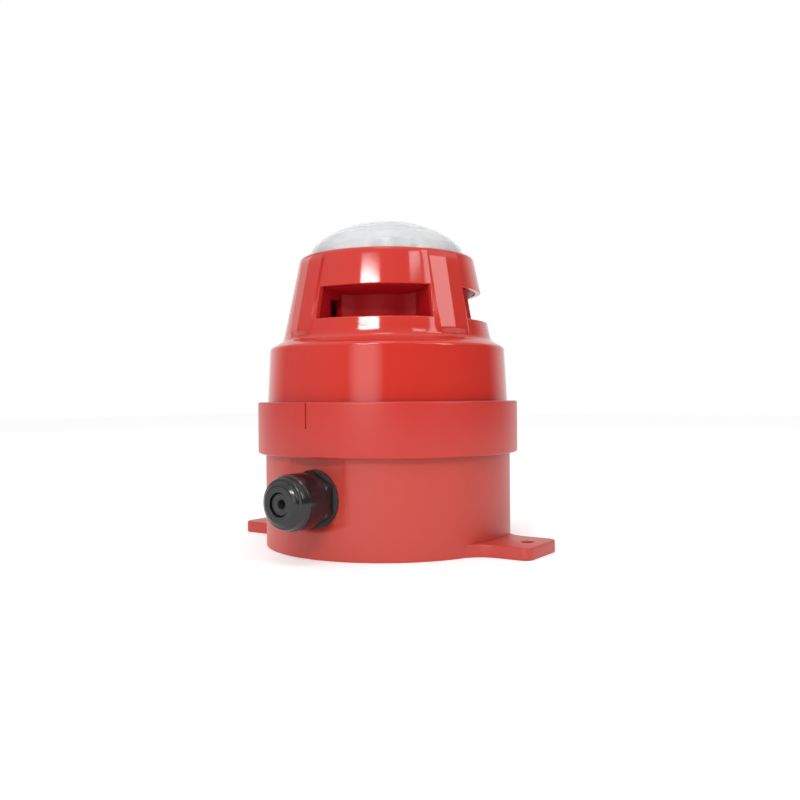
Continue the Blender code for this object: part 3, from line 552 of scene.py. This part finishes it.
def head_shell():
    """The head: one thin wall from the flange inside the ring up to the lens, with its three mouths."""
    above_mouth = [129.4, 127.0, 124.0, 120.5, MOUTH_HIGH_Z + 1.0, MOUTH_HIGH_Z + 0.5]
    below_mouth = [MOUTH_LOW_Z - 0.5, MOUTH_LOW_Z - 1.0, 100.4, 99.2, 98.2]
    tower_rows = above_mouth + [MOUTH_HIGH_Z, 113.3, 109.7, 106.2, MOUTH_LOW_Z] + below_mouth
    first_mouth_row = tower_rows.index(MOUTH_HIGH_Z)
    last_mouth_row = tower_rows.index(MOUTH_LOW_Z)
    top = fillets(
        [
            (LENS_OPENING, 131.5, 0.0),
            (LENS_OPENING, TOWER_TOP_Z, 0.5),
            (tower_radius(TOWER_TOP_Z), TOWER_TOP_Z, 3.0),
            (tower_radius(130.0), 130.0, 0.0),
        ],
        steps=6,
    )
    outer = [Vector((tower_radius(z), z)) for z in tower_rows]
    foot = fillets(
        [
            (tower_radius(97.6), 97.6, 0.0),
            (49.3, 94.5, 4.0),
            (55.2, 91.1, 2.2),
            (56.5, 66.4, 0.0),
            (56.6, 61.6, 0.3),
            (58.6, 61.6, 0.3),
            (58.6, 58.6, 0.3),
            (53.6, 58.6, 0.3),
            (51.7, 89.4, 1.0),
            (46.8, 94.4, 2.0),
            (46.0, 97.6, 0.0),
        ],
        steps=6,
    )
    inner = [Vector((tower_radius(z) - TOWER_WALL, z)) for z in tower_rows[::-1]]
    ledge = [Vector((39.0, 130.3)), Vector((LENS_OPENING, 130.3))]
    profile = top + outer + foot + inner + ledge
    outer_start = len(top)
    inner_end = len(top) + len(outer) + len(foot) + len(inner) - 1
    foot_relief_rows = 8
    relief_rows = range(outer_start + len(outer) + foot_relief_rows)
    columns = head_columns()
    rows = len(profile)
    vertices = []
    for azimuth in columns:
        for row, (radius, z) in enumerate(profile):
            raised = row in relief_rows and radius > 40.0
            vertices.append(tower_point(azimuth, z, radius) if raised else polar(radius, azimuth, z))
    outer_mouth = range(outer_start + first_mouth_row, outer_start + last_mouth_row)
    inner_mouth = range(inner_end - last_mouth_row, inner_end - first_mouth_row)

    def open_column(column):
        width = (columns[(column + 1) % len(columns)] - columns[column]) % 360.0
        middle = (columns[column] + width / 2) % 360.0
        offset, quarter = quarter_offset(middle)
        return abs(offset) < MOUTH_HALF_ANGLE and quarter < MOUTH_COUNT

    def partner(row):
        """The row inside the wall that faces this row of the outside."""
        return inner_end - (row - outer_start)

    faces = []
    for column in range(len(columns)):
        here = column * rows
        there = (column + 1) % len(columns) * rows
        is_open = open_column(column)
        for row in range(rows):
            if is_open and (row in outer_mouth or row in inner_mouth):
                continue
            after = (row + 1) % rows
            faces.append((here + row, there + row, there + after, here + after))
        if not is_open:
            continue
        for row in (outer_mouth.start, outer_mouth.stop):
            faces.append((here + row, there + row, there + partner(row), here + partner(row)))
        for neighbour, edge in ((column - 1, here), ((column + 1) % len(columns), there)):
            if open_column(neighbour % len(columns)):
                continue
            for row in outer_mouth:
                faces.append((edge + row, edge + row + 1, edge + partner(row + 1), edge + partner(row)))
    shell = mesh_piece("head_shell", vertices, faces)
    return round_mouth_edges(shell)


def round_mouth_edges(shell):
    """Rounds the sharp edges where each mouth leaves the tower's outside."""
    bm = bmesh.new()
    bm.from_mesh(shell.data)
    low, high = (MOUTH_LOW_Z - 0.2) * MM, (MOUTH_HIGH_Z + 0.2) * MM
    chosen = []
    for edge in bm.edges:
        if len(edge.link_faces) != 2 or edge.calc_face_angle(0.0) < math.radians(50):
            continue
        if all(low < vertex.co.z < high and vertex.co.xy.length > (tower_radius(vertex.co.z / MM) - 1.0) * MM
               for vertex in edge.verts):
            chosen.append(edge)
    bmesh.ops.bevel(bm, geom=chosen, offset=0.4 * MM, segments=3, profile=0.5, affect="EDGES")
    bm.to_mesh(shell.data)
    bm.free()
    shade(shell.data)
    return shell


def mouth_cutter(name, azimuth):
    """A horn mouth's hollow: rounded at the back, its floor falling outward and its ceiling rising."""
    half = math.radians(MOUTH_HALF_ANGLE)
    back = HORN_BACK_RADIUS
    steps = 14
    outline = []
    for step in range(steps + 1):
        angle = -half + 2 * half * step / steps
        outline.append((56.0 * math.sin(angle), -56.0 * math.cos(angle)))
    for step in range(steps + 1):
        angle = half - 2 * half * step / steps
        ease = 1.0 + 0.10 * smoothstep(0.72, 1.0, abs(angle) / half)
        outline.append((back * ease * math.sin(angle), -back * ease * math.cos(angle)))
    cutter = extruded(name, outline, MOUTH_LOW_Z, MOUTH_HIGH_Z)
    middle = (MOUTH_LOW_Z + MOUTH_HIGH_Z) / 2 * MM
    for vertex in cutter.data.vertices:
        x, y, z = vertex.co
        radius = math.hypot(x, y) / MM
        if z > middle:
            height = MOUTH_HIGH_Z + (radius - 44.0) * 0.16
        else:
            height = MOUTH_LOW_Z - (radius - 46.0) * 0.08
        vertex.co = (*turned(x, y, azimuth), height * MM)
    return cutter


def horn_core():
    """The horn's inside: a floor, ceiling, back and side walls for each mouth, and a port at one side."""
    corners = [
        (0.0, 87.3, 0.0),
        (50.4, 87.3, 0.4),
        (50.4, 90.3, 0.4),
        (46.3, 90.3, 0.3),
        (46.3, 94.0, 0.3),
        (45.5, 97.8, 0.3),
        (tower_radius(HORN_TOP_Z) - TOWER_WALL - 0.5, HORN_TOP_Z, 0.4),
        (0.0, HORN_TOP_Z, 0.0),
    ]
    core = lathe("horn_core", fillets(corners), 160)
    tools = []
    for i, azimuth in enumerate(QUARTER_AZIMUTHS[:MOUTH_COUNT]):
        rib = azimuth - PILLAR_MIDDLE_ANGLE
        tools.append(mouth_cutter(f"mouth_{i}", azimuth))
        duct_centre = polar(21.5, rib, 107.25) / MM
        tools.append(block(f"duct_{i}", (5.0, 33.0, 6.5), duct_centre, rib, 0.6))
        port_centre = polar(34.4, rib + 8.0, 108.1) / MM
        tools.append(block(f"port_{i}", (10.0, 6.8, 7.6), port_centre, rib + 8.0, 0.6))
    throat = [(0.0, 80.0, 0.0), (9.0, 80.0, 0.0), (9.0, 108.0, 3.0), (5.0, 112.0, 1.0), (0.0, 112.0, 0.0)]
    tools.append(lathe("throat", fillets(throat), 48))
    lead = polar(34.8, QUARTER_AZIMUTHS[3], 0.0) / MM
    tools.append(upright("lead_hole", 2.2, 80.0, 125.0, (lead.x, lead.y)))
    for azimuth in HORN_SCREW_AZIMUTHS:
        for radius, name, reach in ((48.2, "fixing", 92.0), (29.4, "pilot", 97.0)):
            spot = polar(radius, azimuth, 0.0) / MM
            tools.append(upright(f"{name}_{azimuth:.0f}", 1.6, 80.0, reach, (spot.x, spot.y), 16))
    return boolean(core, "DIFFERENCE", *tools)


# ---------------------------------------------------------------- lens and gland


def lens_dome():
    """The clear dome: smooth outside, with rings of prisms inside."""
    outer = fillets(
        [
            (0.0, 150.9, 0.0),
            (9.0, 150.35, 6.0),
            (17.0, 148.8, 6.0),
            (25.0, 145.6, 6.0),
            (31.3, 141.9, 5.0),
            (35.2, 138.2, 4.0),
            (36.9, 133.7, 3.0),
            (37.0, 129.0, 0.1),
            (38.5, 129.0, 0.2),
            (38.5, 127.2, 0.2),
            (35.0, 127.2, 0.2),
            (34.8, 131.5, 0.0),
        ],
        steps=5,
    )
    inner = []
    ring_width = LENS_INNER_RADIUS / PRISM_RINGS
    for ring in range(PRISM_RINGS):
        radius = LENS_INNER_RADIUS * (1.0 - ring / PRISM_RINGS)
        height = 132.0 + 16.6 * math.sin(math.acos(radius / 36.4)) ** 1.15
        inner.append(Vector((radius, height)))
        inner.append(Vector((radius - ring_width * 0.82, height + 0.25)))
    inner.append(Vector((0.0, LENS_INNER_TOP_Z)))
    return lathe("lens_dome", outer + inner, 96)


def gland_nut():
    """The dome nut, whose nose has two raised rings."""
    corners = [
        (4.95, 23.2, 0.3),
        (7.6, 23.2, 1.2),
        (9.1, 22.2, 0.7),
        (9.3, 21.4, 0.15),
        (10.5, 21.0, 1.3),
        (11.1, 19.0, 0.8),
        (11.15, 18.4, 0.15),
        (11.8, 17.6, 0.8),
        (11.8, 12.0, 0.5),
        (11.8, 6.7, 0.6),
        (9.75, 6.7, 0.2),
        (9.75, 14.2, 0.3),
        (6.2, 17.4, 0.3),
        (6.2, 20.2, 0.2),
        (4.95, 21.4, 0.2),
    ]
    return lathe("gland_nut_body", fillets(corners, closed=True), 128, outward(gland_seat()))


def gland_seat():
    return Vector((0.0, GLAND_FACE_Y, GLAND_Z)) * MM


def gland_core():
    """The gland's body: a hexagon against the wall and a threaded sleeve through it."""
    seat = gland_seat()
    sleeve = [
        (6.1, 13.5, 0.3),
        (9.4, 13.5, 0.4),
        (9.4, 5.0, 0.0),
        (9.9, 3.0, 0.0),
        (9.9, -11.0, 0.5),
        (6.1, -11.0, 0.3),
    ]
    collar = [(7.0, 7.0, 0.0), (11.0, 7.0, 0.0), (12.3, 5.2, 1.2), (12.35, 1.0, 0.0), (7.0, 1.0, 0.0)]
    body = lathe("gland_core", fillets(sleeve, closed=True), 96, outward(seat))
    hexagon = lathe("hexagon", [(8.0, 6.3), (12.4, 6.3), (12.4, 1.8), (8.0, 1.8)], 6, outward(seat))
    boolean(hexagon, "INTERSECT", lathe("chamfer", fillets(collar), 96, outward(seat)))
    return boolean(body, "UNION", hexagon)


def gland_insert():
    """The rubber seal, dished round its cable hole."""
    corners = [
        (2.0, 21.6, 0.3),
        (3.4, 22.2, 0.4),
        (4.6, 22.2, 0.4),
        (4.6, 21.0, 0.2),
        (5.6, 19.6, 0.4),
        (5.6, 8.0, 0.3),
        (2.0, 8.0, 0.2),
    ]
    return lathe("gland_insert", fillets(corners, closed=True), 64, outward(gland_seat()))


# ---------------------------------------------------------------- finishes of the CAD's own nodes


FINISH_OF_SLOT = {
    "rubber": RUBBER,
    "black_nylon": BLACK_NYLON,
    "circuit_board": BOARD,
    "terminal_green": GREEN,
    "component_blue": BLUE,
    "white_plastic": WHITE,
    "zinc_steel": STEEL,
    "ferrite": FERRITE,
    "copper": COPPER,
    "film": FILM,
    "reflector": MIRROR,
    "flash_glass": TUBE_GLASS,
    "matt_red": BASE_RED,
    "gloss_red": GLOSS_RED,
    "clear_lens": LENS_CLEAR,
}


def finish_nodes():
    slots = {part["node"]: part["material_slot"] for part in frame["record"]["subparts"]}
    for name, node in frame["nodes"].items():
        finish = FINISH_OF_SLOT[slots[name]]
        for material_slot in node.material_slots:
            material_slot.material = finish


def add_piece(piece, finish, body, slot, *nodes):
    piece.data.materials.clear()
    piece.data.materials.append(finish)
    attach(piece, body)
    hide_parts(*nodes)


# ---------------------------------------------------------------- stage, light and camera


def floor():
    corners = [(-1, -1), (1, -1), (1, 1), (-1, 1)]
    vertices = [(x * FLOOR_HALF_WIDTH, y * FLOOR_HALF_WIDTH, 0.0) for x, y in corners]
    piece = mesh_piece("studio_floor", vertices, [(0, 1, 2, 3)])
    nodes = Nodes("pale_paper", 0.8)
    paper = nodes.blend(nodes.noise(3.0, 2.0), (0.95, 0.95, 0.95), (0.97, 0.97, 0.97))
    nodes.link(paper, nodes.shader.inputs["Base Color"])
    nodes.shader.inputs["Emission Color"].default_value = (1.0, 1.0, 1.0, 1.0)
    nodes.shader.inputs["Emission Strength"].default_value = 0.14
    piece.data.materials.append(nodes.material)


def softbox(name, azimuth, elevation, size, radiance):
    """A rectangular light at this azimuth and elevation as seen from its target on the axis."""
    light = bpy.data.lights.new(name, "AREA")
    light.shape = "RECTANGLE"
    light.size, light.size_y = size
    light.energy = radiance * math.pi * size[0] * size[1]
    item = bpy.data.objects.new(name, light)
    rise = math.radians(elevation)
    across = SOFTBOX_DISTANCE * math.cos(rise) / MM
    item.location = polar(across, azimuth, SOFTBOX_TARGET_Z + SOFTBOX_DISTANCE * math.sin(rise) / MM)
    bpy.context.scene.collection.objects.link(item)
    aim = Vector((0.0, 0.0, SOFTBOX_TARGET_Z * MM)) - item.location
    item.rotation_euler = aim.to_track_quat("-Z", "Y").to_euler()


def direction(azimuth, elevation):
    """The unit vector towards this azimuth and elevation."""
    flat = math.cos(math.radians(elevation))
    return (*(polar(flat, azimuth, 0.0) / MM).xy, math.sin(math.radians(elevation)))


def studio():
    """The room: a white backdrop, a bright ceiling, a dim front, and two soft glows."""
    world = bpy.data.worlds.new("studio")
    world.use_nodes = True
    tree = world.node_tree
    towards = tree.nodes.new("ShaderNodeTexCoord").outputs["Generated"]

    def facing(aim, values, reach):
        """Falls from one value to another as a direction leaves the one aimed at."""
        dot = tree.nodes.new("ShaderNodeVectorMath")
        dot.operation = "DOT_PRODUCT"
        dot.inputs[1].default_value = aim
        tree.links.new(towards, dot.inputs[0])
        node = tree.nodes.new("ShaderNodeMapRange")
        node.interpolation_type = "SMOOTHSTEP"
        node.inputs["From Min"].default_value, node.inputs["From Max"].default_value = reach
        node.inputs["To Min"].default_value, node.inputs["To Max"].default_value = values
        tree.links.new(dot.outputs["Value"], node.inputs["Value"])
        return node.outputs["Result"]

    def together(operation, first, second):
        node = tree.nodes.new("ShaderNodeMath")
        node.operation = operation
        tree.links.new(first, node.inputs[0])
        tree.links.new(second, node.inputs[1])
        return node.outputs["Value"]

    ceiling = facing((0.0, 0.0, 1.0), (0.13, 1.05), (0.20, 0.95))
    backdrop = facing(direction(CAMERA_AZIMUTH + 180.0, 0.0), (0.0, 1.0), (0.28, 0.80))
    glow = facing(direction(14.0, 10.0), (0.0, 2.4), (0.95, 1.0))
    fill = facing(direction(-45.0, 10.0), (0.0, 0.40), (0.55, 1.0))
    room = together("MAXIMUM", ceiling, backdrop)
    room = together("ADD", room, together("ADD", glow, fill))
    tree.links.new(room, tree.nodes["Background"].inputs["Strength"])
    tree.nodes["Background"].inputs["Color"].default_value = (1.0, 1.0, 1.0, 1.0)
    bpy.context.scene.world = world
    bpy.context.scene.view_settings.view_transform = "Standard"


def lights():
    softbox("front_window", 13.4, 28.8, (0.39, 0.092), 36.0)
    softbox("side_window", 71.5, 32.6, (0.24, 0.08), 6.0)
    softbox("pillar_window", 92.0, 28.0, (0.30, 0.50), 4.2)
    softbox("overhead", CAMERA_AZIMUTH - 8.0, 64.0, (0.30, 0.30), 4.0)


def camera():
    azimuth = math.radians(CAMERA_AZIMUTH)
    right = Vector((math.cos(azimuth), math.sin(azimuth), 0.0))
    data = bpy.data.cameras.new("camera")
    data.lens = CAMERA_LENS
    data.sensor_width = CAMERA_SENSOR
    data.clip_start = 0.01
    item = bpy.data.objects.new("camera", data)
    item.location = polar(CAMERA_DISTANCE, CAMERA_AZIMUTH, CAMERA_HEIGHT) + right * CAMERA_SIDESTEP * MM
    item.rotation_euler = (math.radians(90.0), math.radians(CAMERA_ROLL), azimuth)
    bpy.context.scene.collection.objects.link(item)
    bpy.context.scene.camera = item


def build():
    finish_nodes()
    add_piece(base_shell(), BASE_RED, "base", "matt_red", "base_housing")
    add_piece(ring_shell(), RING_RED, "locking_ring", "matt_red", "locking_ring")
    add_piece(head_shell(), GLOSS_RED, "head", "gloss_red", "head_housing")
    add_piece(horn_core(), HORN_SHADED_RED, "head", "gloss_red", "horn_insert")
    add_piece(lens_dome(), LENS_CLEAR, "head", "clear_lens", "lens")
    add_piece(gland_core(), BLACK_NYLON, "base", "black_nylon", "gland_body")
    add_piece(gland_nut(), BLACK_NYLON, "gland_nut", "black_nylon", "gland_dome_nut")
    add_piece(gland_insert(), RUBBER, "gland_seal", "rubber", "gland_seal")
    floor()
    studio()
    lights()
    camera()


build()
